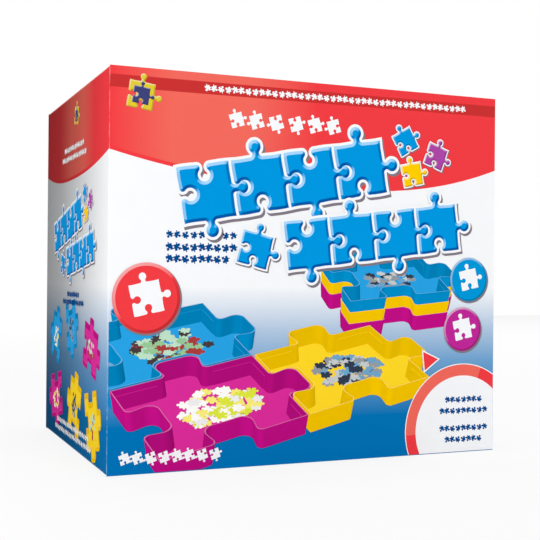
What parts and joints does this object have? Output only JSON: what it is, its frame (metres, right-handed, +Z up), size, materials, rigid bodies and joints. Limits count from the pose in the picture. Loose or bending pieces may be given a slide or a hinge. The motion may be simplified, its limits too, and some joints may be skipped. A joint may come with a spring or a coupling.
{
  "type": "puzzle sorter",
  "caption": "Upright folding carton with a tuck-in lid, packed with a nested stack of shallow sorting trays shaped like interlocking jigsaw pieces.",
  "frame": {"origin": "centre of the carton's footprint on the surface that it stands on", "axes": "+X to the right along the large printed face, +Y from the front face to the back, +Z up"},
  "size_m": [0.254, 0.174, 0.225],
  "materials": {
    "printed_board": "satin",
    "blue_plastic": "gloss",
    "yellow_plastic": "gloss",
    "magenta_plastic": "gloss"
  },
  "bodies": {
    "carton": {"front_panel": "printed_board", "left_panel": "printed_board", "right_panel": "printed_board", "back_panel": "printed_board", "glue_flap": "printed_board", "bottom_panel": "printed_board", "bottom_tuck_flap": "printed_board", "bottom_dust_flap_left": "printed_board", "bottom_dust_flap_right": "printed_board"},
    "lid": {"lid_panel": "printed_board"},
    "lid_tuck": {"lid_tuck_flap": "printed_board"},
    "top_dust_left": {"top_dust_flap_left": "printed_board"},
    "top_dust_right": {"top_dust_flap_right": "printed_board"},
    "tray_blue_1": {"tray_blue_1": "blue_plastic"},
    "tray_yellow_1": {"tray_yellow_1": "yellow_plastic"},
    "tray_magenta_1": {"tray_magenta_1": "magenta_plastic"},
    "tray_blue_2": {"tray_blue_2": "blue_plastic"},
    "tray_yellow_2": {"tray_yellow_2": "yellow_plastic"},
    "tray_magenta_2": {"tray_magenta_2": "magenta_plastic"}
  },
  "joints": [
    {"name": "lid_hinge", "type": "hinge", "parent": "carton", "child": "lid", "pos_m": [0, 0.08685, 0.22479], "axis": [-1, 0, 0], "range_deg": [0, 120]},
    {"name": "tuck_flap_crease", "type": "hinge", "parent": "lid", "child": "lid_tuck", "pos_m": [0, -0.08567, 0.22476], "axis": [-1, 0, 0], "range_deg": [0, 48]},
    {"name": "dust_flap_crease_left", "type": "hinge", "parent": "carton", "child": "top_dust_left", "pos_m": [-0.12679, 0, 0.2237], "axis": [0, -1, 0], "range_deg": [0, 102]},
    {"name": "dust_flap_crease_right", "type": "hinge", "parent": "carton", "child": "top_dust_right", "pos_m": [0.12679, 0, 0.2237], "axis": [0, 1, 0], "range_deg": [0, 102]},
    {"name": "tray_blue_1_lift", "type": "slide", "parent": "carton", "child": "tray_blue_1", "axis": [0, 0, 1], "range_m": [0, 0.0025]},
    {"name": "tray_yellow_1_lift", "type": "slide", "parent": "carton", "child": "tray_yellow_1", "axis": [0, 0, 1], "range_m": [0, 0.0025]},
    {"name": "tray_magenta_1_lift", "type": "slide", "parent": "carton", "child": "tray_magenta_1", "axis": [0, 0, 1], "range_m": [0, 0.0025]},
    {"name": "tray_blue_2_lift", "type": "slide", "parent": "carton", "child": "tray_blue_2", "axis": [0, 0, 1], "range_m": [0, 0.0025]},
    {"name": "tray_yellow_2_lift", "type": "slide", "parent": "carton", "child": "tray_yellow_2", "axis": [0, 0, 1], "range_m": [0, 0.0025]},
    {"name": "tray_magenta_2_lift", "type": "slide", "parent": "carton", "child": "tray_magenta_2", "axis": [0, 0, 1], "range_m": [0, 0.0025]}
  ],
  "couplings": [
    {"joint": "tuck_flap_crease", "follows": "lid_hinge", "ratio": 0.4},
    {"joint": "dust_flap_crease_left", "follows": "lid_hinge", "ratio": 0.85},
    {"joint": "dust_flap_crease_right", "follows": "lid_hinge", "ratio": 0.85},
    {"joint": "tray_yellow_1_lift", "follows": "tray_blue_1_lift", "ratio": 1},
    {"joint": "tray_magenta_1_lift", "follows": "tray_blue_1_lift", "ratio": 1},
    {"joint": "tray_blue_2_lift", "follows": "tray_blue_1_lift", "ratio": 1},
    {"joint": "tray_yellow_2_lift", "follows": "tray_blue_1_lift", "ratio": 1},
    {"joint": "tray_magenta_2_lift", "follows": "tray_blue_1_lift", "ratio": 1}
  ]
}
